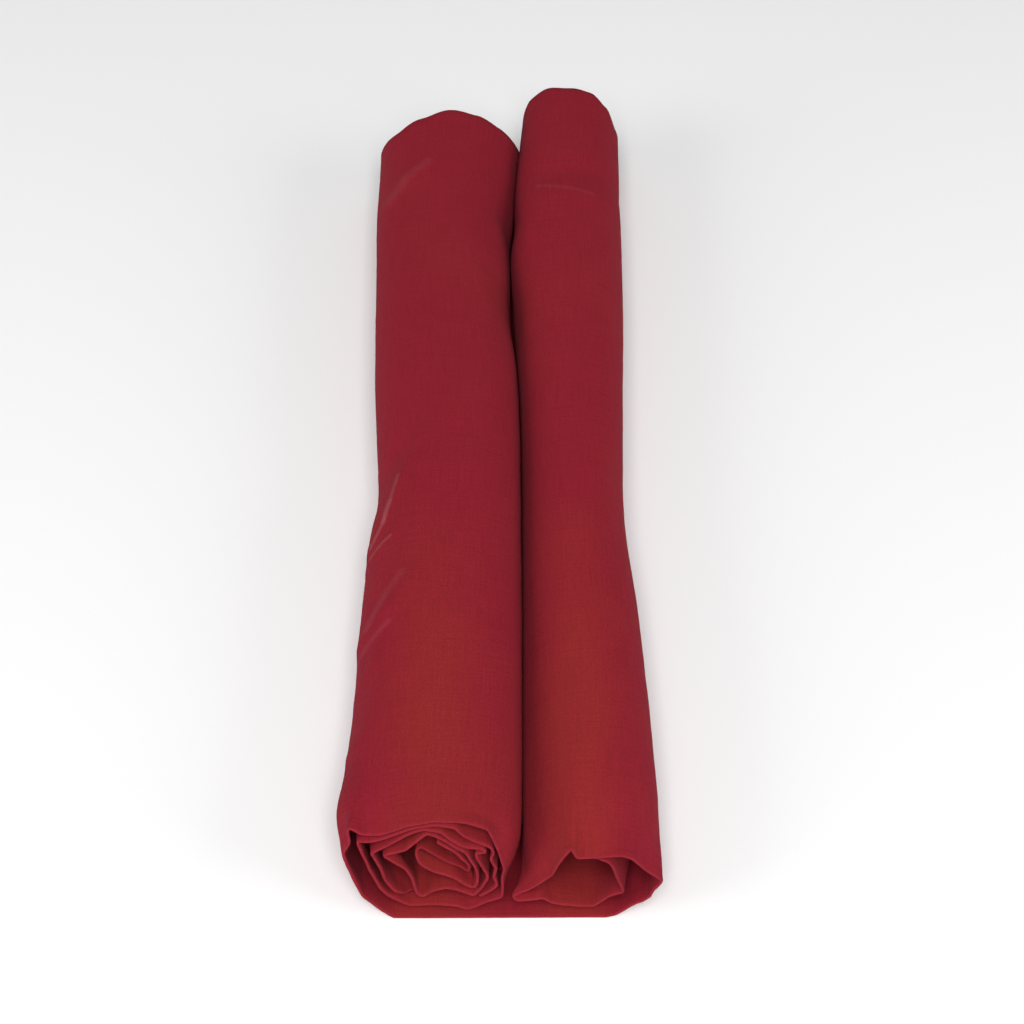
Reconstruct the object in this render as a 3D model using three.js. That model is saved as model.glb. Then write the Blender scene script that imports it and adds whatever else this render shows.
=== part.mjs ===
// A length of thin cotton turban cloth, folded into a strip and rolled from both ends
// towards the middle. The two rolls share one flat web, and lie on it side by side.
// Millimetres, +Z up. The open, crumpled ends face -Y and the left roll is at -X.
import * as THREE from 'three';

// Cloth
const wall = 1.5;                 // eight plies of the folded cloth lying together
const lapStep = { left: 4, right: 4.2 };   // from one lap of a roll to the next
const valleyGap = 1.2;            // between the two rolls where they press together
const leaningTurns = 8;           // the laps further in than this don't lean
const roundness = 2.3;            // of a roll's section: 2 is an ellipse, more is squarer

// Ends
const base = wall / 2;            // height of the middle of the cloth where it lies flat
const nearEnd = -285;             // front edge of the web
const farEnd = { left: 255, right: 287 };
const slant = { left: 0.27, right: 0.125 };  // how far an end leans back for each mm of height
const lapRecess = 1.5;            // each inner lap ends this much further in at the far end
const innerScale = 0.72;          // the innermost fold, inside the rolls, against the near end

// Grid
const crumpleReach = 110;         // how far in the close bands of the near end go
const crumpleBands = 8;
const crumpleCrowding = 1.8;
const plainBands = 8;
const longestStep = 13;           // along the section, between two points of the grid
const slowestTurn = 900;          // a fold goes on round the roll by its length over this

// Creases of the near end: the broad shape goes further in than a fold's own reach, and is
// evened out over a length of the section
const broadReach = 1.7;
const fadePower = 1.5;
const broadSpan = 9;

// The outside of the two rolls along their length: the outer sides, the line where the
// rolls meet, the two heights, how far the rolls lean over that line (+ to the left), and
// how far the right one's shoulder draws back from it
const stations = [
  { y: -285, left: -80, valley: 11, right: 80.2, leftTop: 62, rightTop: 55, lean: -4, shoulder: 10 },
  { y: -250, left: -80, valley: 10.7, right: 79.3, leftTop: 62, rightTop: 56, lean: -5, shoulder: 9 },
  { y: -215, left: -78.2, valley: 10.5, right: 78.1, leftTop: 62, rightTop: 57, lean: -5.5, shoulder: 8.5 },
  { y: -170, left: -75.6, valley: 10.6, right: 75.9, leftTop: 62.5, rightTop: 57.5, lean: -5.5, shoulder: 6 },
  { y: -130, left: -74.1, valley: 10.8, right: 73.7, leftTop: 63, rightTop: 58, lean: -5, shoulder: 4 },
  { y: -70, left: -70.9, valley: 10.8, right: 68.6, leftTop: 63.5, rightTop: 58, lean: -4, shoulder: 2.5 },
  { y: -35, left: -69, valley: 10.8, right: 67.8, leftTop: 64, rightTop: 58, lean: -3.5, shoulder: 2 },
  { y: 0, left: -70.4, valley: 10.5, right: 68.9, leftTop: 64, rightTop: 58, lean: -3, shoulder: 1.5 },
  { y: 40, left: -73, valley: 9.4, right: 70.2, leftTop: 64, rightTop: 58, lean: -2.5, shoulder: 1 },
  { y: 75, left: -74.4, valley: 7.4, right: 71.5, leftTop: 63.5, rightTop: 58, lean: -3, shoulder: 0 },
  { y: 110, left: -75.4, valley: 6, right: 72.4, leftTop: 63, rightTop: 58, lean: -1, shoulder: 0 },
  { y: 150, left: -76.7, valley: 5, right: 73.1, leftTop: 63, rightTop: 57.8, lean: 3, shoulder: 0 },
  { y: 190, left: -77.8, valley: 7, right: 73.6, leftTop: 63, rightTop: 57.5, lean: 6, shoulder: 0 },
  { y: 285, left: -78.3, valley: 15, right: 74.4, leftTop: 64, rightTop: 57, lean: 6.5, shoulder: 0 },
];

// The near edge of the cloth as it runs round each roll, a row for each fold: the middle
// of the cloth's thickness, how far that fold stands forward of the slanted end, and how
// far in it has gone down to about a third
const leftFolds = {
  outerLap: [
    { x: -36, z: base, front: 0.5, reach: 20 },
    { x: -52.5, z: base, front: 0.5, reach: 20 },
    { x: -57.6, z: 4.3, front: 0, reach: 20 },
    { x: -67.3, z: 14, front: 0, reach: 20 },
    { x: -72.6, z: 30, front: 0, reach: 18 },
    { x: -74.6, z: 41.5, front: 0, reach: 14 },
    { x: -71.2, z: 47.3, front: 0, reach: 10 },
    { x: -72, z: 53.5, front: 0, reach: 8 },
    { x: -70.8, z: 57, front: 0, reach: 8 },
    { x: -65.2, z: 53.3, front: 0, reach: 12 },
    { x: -57.5, z: 53.6, front: 0, reach: 14 },
    { x: -43, z: 59.2, front: 0, reach: 14 },
    { x: -30.5, z: 62, front: 0, reach: 14 },
    { x: -17, z: 61.3, front: 0, reach: 11 },
    { x: -5.5, z: 57, front: 0, reach: 7 },
    { x: -1.8, z: 47, front: 0, reach: 6 },
    { x: 0.6, z: 38, front: 0, reach: 5.5 },
    { x: 2, z: 31, front: 0, reach: 5.5 },
    { x: 0.9, z: 25, front: 0, reach: 5.5 },
    { x: 1.6, z: 18.5, front: 0, reach: 5.5 },
    { x: 0.8, z: 13.5, front: 0, reach: 7 },
    { x: -6, z: 10.5, front: 0, reach: 12 },
    { x: -16, z: 5.6, front: 0, reach: 20 },
    { x: -20.5, z: 7.4, front: 0, reach: 20 },
    { x: -29, z: 8.8, front: 0, reach: 20 },
    { x: -40, z: 8.6, front: 0, reach: 20 },
    { x: -43.7, z: 8, front: 0, reach: 20 },
  ],
  secondLap: [
    { x: -48.8, z: 10.6, front: 0, reach: 20 },
    { x: -55, z: 14.8, front: 0, reach: 20 },
    { x: -58.4, z: 19.5, front: 0, reach: 20 },
    { x: -63.4, z: 33, front: 0, reach: 20 },
    { x: -66, z: 41.5, front: 0, reach: 20 },
    { x: -67.6, z: 48.9, front: 0, reach: 20 },
    { x: -62.5, z: 48.6, front: 0, reach: 20 },
    { x: -54, z: 51.8, front: 0, reach: 20 },
    { x: -42, z: 57.2, front: 0, reach: 20 },
    { x: -30, z: 59.6, front: 0, reach: 20 },
    { x: -21.5, z: 57.8, front: 0, reach: 20 },
    { x: -17, z: 52.6, front: 0, reach: 20 },
    { x: -10.5, z: 48.6, front: 0, reach: 20 },
    { x: -4, z: 45.2, front: 0, reach: 20 },
    { x: -3, z: 41.5, front: 0, reach: 20 },
    { x: -4.4, z: 38, front: 0, reach: 20 },
    { x: -1.9, z: 31.8, front: 0, reach: 20 },
    { x: -3, z: 26.5, front: 0, reach: 20 },
    { x: -1.3, z: 21, front: 0, reach: 20 },
    { x: -4.6, z: 17.6, front: 0, reach: 20 },
    { x: -9.4, z: 14.2, front: 0, reach: 20 },
  ],
  thirdLap: [
    { x: -14, z: 9.8, front: -8, reach: 20 },
    { x: -27, z: 11.7, front: -8, reach: 20 },
    { x: -40, z: 11.4, front: -8, reach: 20 },
    { x: -46.5, z: 12.6, front: -3, reach: 20 },
    { x: -51.2, z: 16.8, front: 0, reach: 20 },
    { x: -55.3, z: 23.5, front: 0, reach: 20 },
    { x: -57.8, z: 32, front: 0, reach: 20 },
    { x: -61.7, z: 41.5, front: 0, reach: 20 },
    { x: -54.5, z: 46.3, front: 0, reach: 20 },
    { x: -42.5, z: 54.3, front: 0, reach: 20 },
    { x: -36, z: 56.8, front: 0, reach: 20 },
    { x: -28, z: 55.2, front: 0, reach: 20 },
    { x: -24.3, z: 51, front: 0, reach: 20 },
    { x: -19, z: 46.8, front: 0, reach: 20 },
    { x: -15.9, z: 45.4, front: 0, reach: 20 },
    { x: -8.4, z: 44.4, front: 0, reach: 20 },
    { x: -6.6, z: 42.4, front: 0, reach: 20 },
    { x: -11.5, z: 41.6, front: 0, reach: 20 },
    { x: -11.3, z: 39.2, front: 0, reach: 20 },
    { x: -9.3, z: 34.5, front: 0, reach: 20 },
    { x: -6.2, z: 28.6, front: 0, reach: 20 },
    { x: -5.8, z: 25.5, front: 0, reach: 20 },
    { x: -9.2, z: 18.6, front: 0, reach: 20 },
  ],
  fourthLap: [
    { x: -12.8, z: 14.6, front: 0, reach: 20 },
    { x: -21.5, z: 18.6, front: 0, reach: 20 },
    { x: -26, z: 19.5, front: 0, reach: 20 },
    { x: -32.4, z: 17.8, front: 0, reach: 20 },
    { x: -37.8, z: 13.9, front: 0, reach: 20 },
    { x: -40.4, z: 15.4, front: 0, reach: 20 },
    { x: -42.6, z: 25.5, front: 0, reach: 20 },
    { x: -45.6, z: 31.3, front: 0, reach: 20 },
    { x: -50, z: 35.2, front: 0, reach: 20 },
    { x: -56.3, z: 40.2, front: 0, reach: 20 },
    { x: -45.5, z: 43.6, front: 0, reach: 20 },
    { x: -40.5, z: 48.8, front: 0, reach: 20 },
    { x: -35, z: 54.2, front: 0, reach: 20 },
    { x: -31, z: 53, front: 0, reach: 20 },
    { x: -25.3, z: 48.9, front: 0, reach: 20 },
    { x: -20, z: 44.6, front: 0, reach: 20 },
    { x: -16.6, z: 42.2, front: 0, reach: 20 },
    { x: -14.6, z: 38, front: 0, reach: 20 },
    { x: -12, z: 32.5, front: 0, reach: 20 },
    { x: -10.8, z: 28, front: 0, reach: 20 },
    { x: -11, z: 21.5, front: 0, reach: 20 },
  ],
  innermostFold: [
    { x: -13, z: 19.4, front: 0, reach: 20 },
    { x: -17.5, z: 21.8, front: 0, reach: 20 },
    { x: -21.8, z: 26, front: 0, reach: 20 },
    { x: -31, z: 29.6, front: 0, reach: 20 },
    { x: -36, z: 32.6, front: 0, reach: 20 },
    { x: -38.7, z: 35.3, front: 0, reach: 20 },
    { x: -40.4, z: 39, front: -1, reach: 20 },
    { x: -40, z: 41.8, front: -3, reach: 20 },
    { x: -37.6, z: 40.4, front: -4.5, reach: 20 },
    { x: -29.5, z: 34, front: -4.5, reach: 20 },
    { x: -25, z: 30.9, front: -4.5, reach: 20 },
    { x: -19, z: 28, front: -4.5, reach: 20 },
    { x: -15.4, z: 25.3, front: -4, reach: 20 },
    { x: -14.2, z: 31, front: -2, reach: 20 },
    { x: -17.5, z: 37.5, front: 0, reach: 20 },
    { x: -20.5, z: 41.5, front: 0, reach: 20 },
    { x: -30, z: 48.6, front: 0, reach: 20 },
  ],
};
const rightFolds = {
  outerLap: [
    { x: 40, z: base, front: 0, reach: 20 },
    { x: 52.5, z: base, front: 0, reach: 20 },
    { x: 57, z: 2.4, front: 0, reach: 20 },
    { x: 61, z: 6, front: 0, reach: 20 },
    { x: 65.8, z: 11, front: 0, reach: 20 },
    { x: 70, z: 13.4, front: 0, reach: 20 },
    { x: 73.5, z: 16.8, front: 0, reach: 20 },
    { x: 75.8, z: 22.5, front: 0, reach: 20 },
    { x: 79.2, z: 29, front: 0, reach: 20 },
    { x: 72.5, z: 36, front: 0, reach: 16 },
    { x: 64, z: 46.3, front: 0, reach: 16 },
    { x: 59, z: 48.3, front: 0, reach: 16 },
    { x: 44, z: 46.8, front: 0, reach: 14 },
    { x: 37.5, z: 46.3, front: 0, reach: 10 },
    { x: 34.3, z: 53, front: 0, reach: 7 },
    { x: 29, z: 43.5, front: 0, reach: 12 },
    { x: 25.5, z: 33.5, front: 0, reach: 12 },
    { x: 14, z: 22, front: 0, reach: 10 },
    { x: 6.3, z: 17.2, front: 0, reach: 8 },
  ],
  innerLap: [
    { x: 8, z: 13.6, front: 0, reach: 8 },
    { x: 15, z: 14.2, front: 0, reach: 12 },
    { x: 21, z: 15.5, front: 0, reach: 20 },
    { x: 25, z: 12.3, front: 0, reach: 20 },
    { x: 31, z: 10.3, front: 0, reach: 20 },
    { x: 46, z: 9.2, front: 0, reach: 20 },
    { x: 53.5, z: 17, front: 0, reach: 20 },
    { x: 60.5, z: 20.3, front: 0, reach: 20 },
    { x: 57.8, z: 29, front: 0, reach: 20 },
    { x: 53.3, z: 42.5, front: 0, reach: 20 },
    { x: 44, z: 43, front: -4, reach: 20 },
    { x: 36, z: 42.5, front: -10, reach: 20 },
    { x: 31.5, z: 36, front: -12, reach: 20 },
    { x: 27, z: 27, front: -12, reach: 20 },
    { x: 23, z: 21, front: -12, reach: 20 },
  ],
};

// Soft dents and ridges of the rolls between their ends: the middle, the length and width,
// the turn of the length away from +Y in degrees, and how far in (-) or out (+) they go
const dents = [
  { x: -66, y: -48, long: 42, wide: 8, turned: 22, out: -3.0 },
  { x: -70, y: -66, long: 30, wide: 7, turned: 22, out: 2.0 },
  { x: 4, y: 96, long: 26, wide: 9, turned: 0, out: -3.5 },
  { x: 5, y: 175, long: 20, wide: 9, turned: 0, out: -3.0 },
  { x: -58, y: 190, long: 60, wide: 12, turned: -20, out: -1.8 },
  { x: 46, y: 205, long: 9, wide: 34, turned: 0, out: -1.5 },
  { x: -74, y: -185, long: 40, wide: 10, turned: 14, out: -2.0 },
  { x: -76, y: -254, long: 18, wide: 13, turned: 0, out: 4.3 },
];

// The far edge of the cloth round each roll: how far it is drawn back from the furthest
// point, by the share of a turn from the middle of the underside, through the outer side
const rims = [
  { turn: 0, left: 9, right: 14 },
  { turn: 0.22, left: 11, right: 22 },
  { turn: 0.31, left: 12, right: 24 },
  { turn: 0.37, left: 12.5, right: 12.5 },
  { turn: 0.44, left: 6.3, right: 5 },
  { turn: 0.5, left: 0, right: 2.3 },
  { turn: 0.56, left: 3, right: 0 },
  { turn: 0.63, left: 7, right: 3.5 },
  { turn: 0.7, left: 8.5, right: 12 },
  { turn: 0.8, left: 7, right: 19 },
  { turn: 1, left: 9, right: 14 },
];

const dentOverlap = 0.5;          // how far below the middle of the roll the dents reach

const mix = (a, b, share) => a + (b - a) * share;

function smoothStep(value) {
  const share = Math.min(Math.max(value, 0), 1);
  return share * share * (3 - 2 * share);
}

// A smooth curve through one column of the stations
function stationValue(column, y) {
  let index = 0;
  while (index < stations.length - 2 && y > stations[index + 1].y) index += 1;
  const start = stations[index];
  const end = stations[index + 1];
  const before = stations[Math.max(index - 1, 0)];
  const after = stations[Math.min(index + 2, stations.length - 1)];
  const span = end.y - start.y;
  const share = Math.min(Math.max((y - start.y) / span, 0), 1);
  const slopeIn = (end[column] - before[column]) / (end.y - before.y) * span;
  const slopeOut = (after[column] - start[column]) / (after.y - start.y) * span;
  const square = share * share;
  const cube = square * share;
  return start[column] * (2 * cube - 3 * square + 1) + slopeIn * (cube - 2 * square + share)
    + end[column] * (3 * square - 2 * cube) + slopeOut * (cube - square);
}

// Centre and half sizes of one roll's outer lap at y, in the middle of the cloth's thickness
function rollAt(side, y) {
  const outward = side === 'left' ? -1 : 1;
  const step = lapStep[side];
  const outerSide = outward * stationValue(side, y);
  const valleySide = outward * stationValue('valley', y) + valleyGap / 2;
  const halfWidth = (outerSide - valleySide - wall + step) / 2;
  const halfHeight = (stationValue(`${side}Top`, y) - wall + step / 2) / 2;
  return {
    outward,
    step,
    halfWidth,
    halfHeight,
    lean: stationValue('lean', y),
    shoulder: side === 'right' ? stationValue('shoulder', y) : 0,
    x: outward * (outerSide - base - halfWidth + step / 4),
    z: base + halfHeight,
  };
}

// The plain roll: a spiral with a flattened section. Its turn is 0 at the middle of the
// underside, 0.25 at the outer side, 0.5 on top and 0.75 where the rolls meet.
function spiral(roll, turn) {
  const angle = 2 * Math.PI * turn;
  const shape = (value) => Math.sign(value) * Math.abs(value) ** (2 / roundness);
  const inward = roll.step * turn;
  const across = shape(Math.sin(angle));
  const down = shape(Math.cos(angle));
  const lean = roll.lean * down * Math.max(1 - turn / leaningTurns, 0);
  const leaning = (lean - roll.shoulder * Math.min(down, 0)) * Math.min(across, 0);
  return {
    x: roll.x + roll.outward * (roll.halfWidth - inward) * across - leaning,
    z: roll.z - (roll.halfHeight - inward) * down,
  };
}

// How far round its roll a fold of the near edge lies, as a share of one turn
function shareOfTurn(roll, fold) {
  const outwards = roll.outward * (fold.x - roll.x) / roll.halfWidth;
  const downwards = (roll.z - fold.z) / roll.halfHeight;
  return Math.atan2(outwards, downwards) / (2 * Math.PI);
}

// The folds of one roll in order from the web, each with its turn counted on from there
function foldsOf(side, tables) {
  const roll = rollAt(side, nearEnd);
  const folds = [];
  for (const [lap, table] of Object.entries(tables)) {
    for (const row of table) {
      const last = folds.at(-1);
      const fold = { ...row, side, across: side === 'left' ? 0 : 1, turn: 0 };
      fold.innermost = lap === 'innermostFold';
      if (last) {
        const change = shareOfTurn(roll, row) - last.turn;
        const ahead = change - Math.round(change);
        const length = Math.hypot(row.x - last.x, row.z - last.z);
        fold.turn = last.turn + Math.max(ahead, length / slowestTurn);
      }
      folds.push(fold);
    }
  }
  return folds;
}

// Where a fold lies inside the roll, past the creases of the near end
function plainPlace(fold, y) {
  if (fold.turn === 0) {
    return { x: mix(rollAt('left', y).x, rollAt('right', y).x, fold.across), z: base };
  }
  const roll = rollAt(fold.side, y);
  if (!fold.innermost) return spiral(roll, fold.turn);
  return {
    x: roll.x + (fold.x - roll.x) * innerScale,
    z: roll.z + (fold.z - roll.z) * innerScale,
  };
}

// How deep the dents are at a place on the outside of the rolls
function dentAt(x, y) {
  let depth = 0;
  for (const dent of dents) {
    const turned = THREE.MathUtils.degToRad(dent.turned);
    const along = (y - dent.y) * Math.cos(turned) + (x - dent.x) * Math.sin(turned);
    const aside = (x - dent.x) * Math.cos(turned) - (y - dent.y) * Math.sin(turned);
    depth += dent.out * Math.exp(-((along / dent.long) ** 2) - (aside / dent.wide) ** 2);
  }
  return depth;
}

// Where one roll's far edge is at a turn round it
function rimAt(side, turn) {
  const part = turn - Math.floor(turn);
  const next = rims.findIndex((row) => row.turn > part);
  const [from, to] = [rims[next - 1], rims[next]];
  const share = smoothStep((part - from.turn) / (to.turn - from.turn));
  return farEnd[side] - mix(from[side], to[side], share) - lapRecess * Math.floor(turn);
}

// One point in the middle of the cloth's thickness, at a share of the way to the far edge
function clothPoint(fold, share) {
  const nearEdge = nearEnd + mix(slant.left, slant.right, fold.across) * fold.z - fold.front;
  const rim = { left: rimAt('left', fold.turn), right: rimAt('right', fold.turn) };
  const y = mix(nearEdge, mix(rim.left, rim.right, smoothStep(fold.across)), share);
  const plain = plainPlace(fold, y);
  const sharp = Math.exp(-(((y - nearEdge) / fold.reach) ** fadePower));
  const broad = Math.exp(-(((y - nearEdge) / (fold.reach * broadReach)) ** fadePower));
  const place = {
    x: mix(plain.x, fold.broadX, broad) + (fold.x - fold.broadX) * sharp,
    z: mix(plain.z, fold.broadZ, broad) + (fold.z - fold.broadZ) * sharp,
  };
  if (fold.turn === 0) return new THREE.Vector3(place.x, y, base);
  const roll = rollAt(fold.side, y);
  const outX = (place.x - roll.x) / roll.halfWidth;
  const outZ = (place.z - roll.z) / roll.halfHeight;
  const depth = dentAt(place.x, y) * smoothStep(outZ + dentOverlap);
  return new THREE.Vector3(place.x + depth * outX, y, place.z + depth * outZ);
}

// The points of the section: every fold, and more where two folds are far apart
function sectionPoints(folds) {
  const points = [];
  for (let index = 0; index < folds.length - 1; index += 1) {
    const fold = folds[index];
    const next = folds[index + 1];
    const from = plainPlace(fold, 0);
    const to = plainPlace(next, 0);
    const nearLength = Math.hypot(next.x - fold.x, next.z - fold.z);
    const plainLength = Math.hypot(to.x - from.x, to.z - from.z);
    const steps = Math.ceil(Math.max(nearLength, plainLength) / longestStep);
    for (let step = 0; step < steps; step += 1) {
      const share = step / steps;
      const point = { ...fold };
      for (const column of ['x', 'z', 'front', 'reach', 'turn', 'across']) {
        point[column] = mix(fold[column], next[column], share);
      }
      points.push(point);
    }
  }
  points.push(folds.at(-1));
  return points;
}

// The section's broad shape at the near end, with its sharp folds evened out
function evenOut(points) {
  const reach = [0];
  for (let index = 1; index < points.length; index += 1) {
    const [last, here] = [points[index - 1], points[index]];
    reach.push(reach.at(-1) + Math.hypot(here.x - last.x, here.z - last.z));
  }
  return points.map((point, index) => {
    const sum = { x: 0, z: 0, weight: 0 };
    points.forEach((other, at) => {
      const spacing = (reach[Math.min(at + 1, reach.length - 1)] - reach[Math.max(at - 1, 0)]) / 2;
      const weight = spacing * Math.exp(-(((reach[at] - reach[index]) / broadSpan) ** 2));
      sum.x += other.x * weight;
      sum.z += other.z * weight;
      sum.weight += weight;
    });
    return { ...point, broadX: sum.x / sum.weight, broadZ: sum.z / sum.weight };
  });
}

// The rows of the grid from the near edge to the far one, close together in the creases
function rowShares() {
  const length = farEnd.left - nearEnd;
  const shares = [];
  for (let band = 0; band < crumpleBands; band += 1) {
    shares.push((band / crumpleBands) ** crumpleCrowding * crumpleReach / length);
  }
  for (let band = 0; band <= plainBands; band += 1) {
    shares.push(mix(crumpleReach / length, 1, band / plainBands));
  }
  return shares;
}

// The direction square to the cloth at one point of the grid
function clothNormal(grid, column, row) {
  const lastColumn = grid.length - 1;
  const lastRow = grid[0].length - 1;
  const point = grid[column][row];
  const alongSection = new THREE.Vector3();
  if (column > 0) alongSection.add(point.clone().sub(grid[column - 1][row]).normalize());
  if (column < lastColumn) alongSection.add(grid[column + 1][row].clone().sub(point).normalize());
  const alongRoll = grid[column][Math.min(row + 1, lastRow)].clone();
  alongRoll.sub(grid[column][Math.max(row - 1, 0)]);
  return alongSection.cross(alongRoll).normalize();
}

// A closed wall of even thickness round a grid of points in its middle
function clothWall(grid) {
  const columns = grid.length;
  const rows = grid[0].length;
  const positions = [];
  for (const face of [1, -1]) {
    for (let column = 0; column < columns; column += 1) {
      for (let row = 0; row < rows; row += 1) {
        const offset = clothNormal(grid, column, row).multiplyScalar(face * wall / 2);
        positions.push(...grid[column][row].clone().add(offset).toArray());
      }
    }
  }
  const corner = (face, column, row) => (face * columns + column) * rows + row;
  const triangles = [];
  const quad = (a, b, c, d) => triangles.push(a, b, c, a, c, d);
  for (let column = 0; column < columns - 1; column += 1) {
    for (let row = 0; row < rows - 1; row += 1) {
      const around = [[column, row], [column + 1, row], [column + 1, row + 1], [column, row + 1]];
      const [a, b, c, d] = around.map(([i, j]) => corner(0, i, j));
      quad(a, b, c, d);
      const back = corner(1, 0, 0);
      quad(a + back, d + back, c + back, b + back);
    }
  }
  const lastColumn = columns - 1;
  const lastRow = rows - 1;
  const rim = [];
  for (let column = 0; column < lastColumn; column += 1) rim.push([column, 0]);
  for (let row = 0; row < lastRow; row += 1) rim.push([lastColumn, row]);
  for (let column = lastColumn; column > 0; column -= 1) rim.push([column, lastRow]);
  for (let row = lastRow; row > 0; row -= 1) rim.push([0, row]);
  for (let index = 0; index < rim.length; index += 1) {
    const here = rim[index];
    const next = rim[(index + 1) % rim.length];
    quad(corner(0, ...next), corner(0, ...here), corner(1, ...here), corner(1, ...next));
  }
  const geometry = new THREE.BufferGeometry();
  geometry.setAttribute('position', new THREE.Float32BufferAttribute(positions, 3));
  geometry.setIndex(triangles);
  geometry.computeVertexNormals();
  return geometry;
}

function turbanCloth() {
  const folds = [...foldsOf('right', rightFolds).reverse(), ...foldsOf('left', leftFolds)];
  const shares = rowShares();
  const points = evenOut(sectionPoints(folds));
  const grid = points.map((point) => shares.map((share) => clothPoint(point, share)));
  const finish = new THREE.MeshStandardMaterial({ color: 0x8d2a2d, roughness: 0.9, metalness: 0 });
  const mesh = new THREE.Mesh(clothWall(grid), finish);
  mesh.name = 'turban_cloth';
  return mesh;
}

const turban = new THREE.Group();
turban.add(turbanCloth());

export default turban;
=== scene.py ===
import math

import bpy
import numpy as np
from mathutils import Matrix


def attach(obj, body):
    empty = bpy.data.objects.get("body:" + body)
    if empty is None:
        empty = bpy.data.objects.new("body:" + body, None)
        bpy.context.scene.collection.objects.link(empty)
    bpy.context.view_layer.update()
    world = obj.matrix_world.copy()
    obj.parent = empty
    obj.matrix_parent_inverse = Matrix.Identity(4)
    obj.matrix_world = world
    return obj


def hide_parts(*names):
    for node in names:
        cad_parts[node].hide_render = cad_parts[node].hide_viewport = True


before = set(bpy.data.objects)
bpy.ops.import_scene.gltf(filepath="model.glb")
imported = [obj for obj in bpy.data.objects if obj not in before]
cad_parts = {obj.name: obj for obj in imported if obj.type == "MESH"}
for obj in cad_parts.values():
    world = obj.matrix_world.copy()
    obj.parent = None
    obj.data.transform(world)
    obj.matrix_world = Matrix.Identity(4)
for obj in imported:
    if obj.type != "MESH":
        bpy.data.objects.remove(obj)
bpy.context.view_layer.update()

mm = 0.001

# the cloth: one length, folded into a strip and rolled from both ends, in millimetres
cloth = {
    "wall": 1.5,                          # eight plies lying together
    "lapStep": {"left": 4.0, "right": 4.2},   # from one lap of a roll to the next
    "valleyGap": 0.4,                     # between the rolls, where they press together
    "leaningTurns": 8,                    # laps further in than this don't lean
    "roundness": 2.3,                     # 2 is an ellipse, more is squarer
    "nearEnd": -285.0,                    # front edge of the web
    "farEnd": {"left": 255.0, "right": 287.0},
    "slant": {"left": 0.27, "right": 0.125},  # how far an end leans back for its height
    "lapRecess": 1.5,                     # each inner lap ends this much further in
    "innerScale": 0.72,                   # the innermost fold inside, against the near end
    "slowestTurn": 900.0,                 # a fold goes on round by its length over this
    "broadReach": 1.7,                    # the broad shape goes further in than a fold
    "fadePower": 1.5,
    "broadSpan": 9.0,                     # along the edge, that the broad shape evens out
    "flatSize": (0.55, 1.2),              # metres, the folded strip before it was rolled
}
base = cloth["wall"] / 2                  # height of the middle of the cloth where it lies flat

# the outside of the two rolls along their length
stationColumns = ("y", "left", "valley", "right", "leftTop", "rightTop", "lean", "shoulder")
stations = [
    (-285, -80, 11, 80.2, 62, 55, -4, 10),
    (-250, -80, 10.7, 79.3, 62, 56, -5, 9),
    (-215, -78.2, 10.5, 78.1, 62, 57, -5.5, 8.5),
    (-170, -75.6, 10.6, 75.9, 62.5, 57.5, -5.5, 6),
    (-130, -74.1, 10.8, 73.7, 63, 58, -5, 4),
    (-70, -70.9, 10.8, 68.6, 63.5, 58, -4, 2.5),
    (-35, -69, 10.8, 67.8, 64, 58, -3.5, 2),
    (0, -70.4, 10.5, 68.9, 64, 58, -3, 1.5),
    (40, -73, 9.4, 70.2, 64, 58, -2.5, 1),
    (75, -74.4, 7.4, 71.5, 63.5, 58, -3, 0),
    (110, -75.4, 6, 72.4, 63, 58, -1, 0),
    (150, -76.7, 5, 73.1, 63, 57.8, 3, 0),
    (190, -77.8, 7, 73.6, 63, 57.5, 6, 0),
    (285, -78.3, 15, 74.4, 64, 57, 6.5, 0),
]

# how far the far edge is drawn back round each roll, by the share of a turn
rimColumns = ("turn", "left", "right")
rims = [
    (0, 9, 14),
    (0.22, 11, 22),
    (0.31, 12, 24),
    (0.37, 12.5, 12.5),
    (0.44, 6.3, 5),
    (0.5, 0, 2.3),
    (0.56, 3, 0),
    (0.63, 7, 3.5),
    (0.7, 8.5, 12),
    (0.8, 7, 19),
    (1, 9, 14),
]

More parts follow.
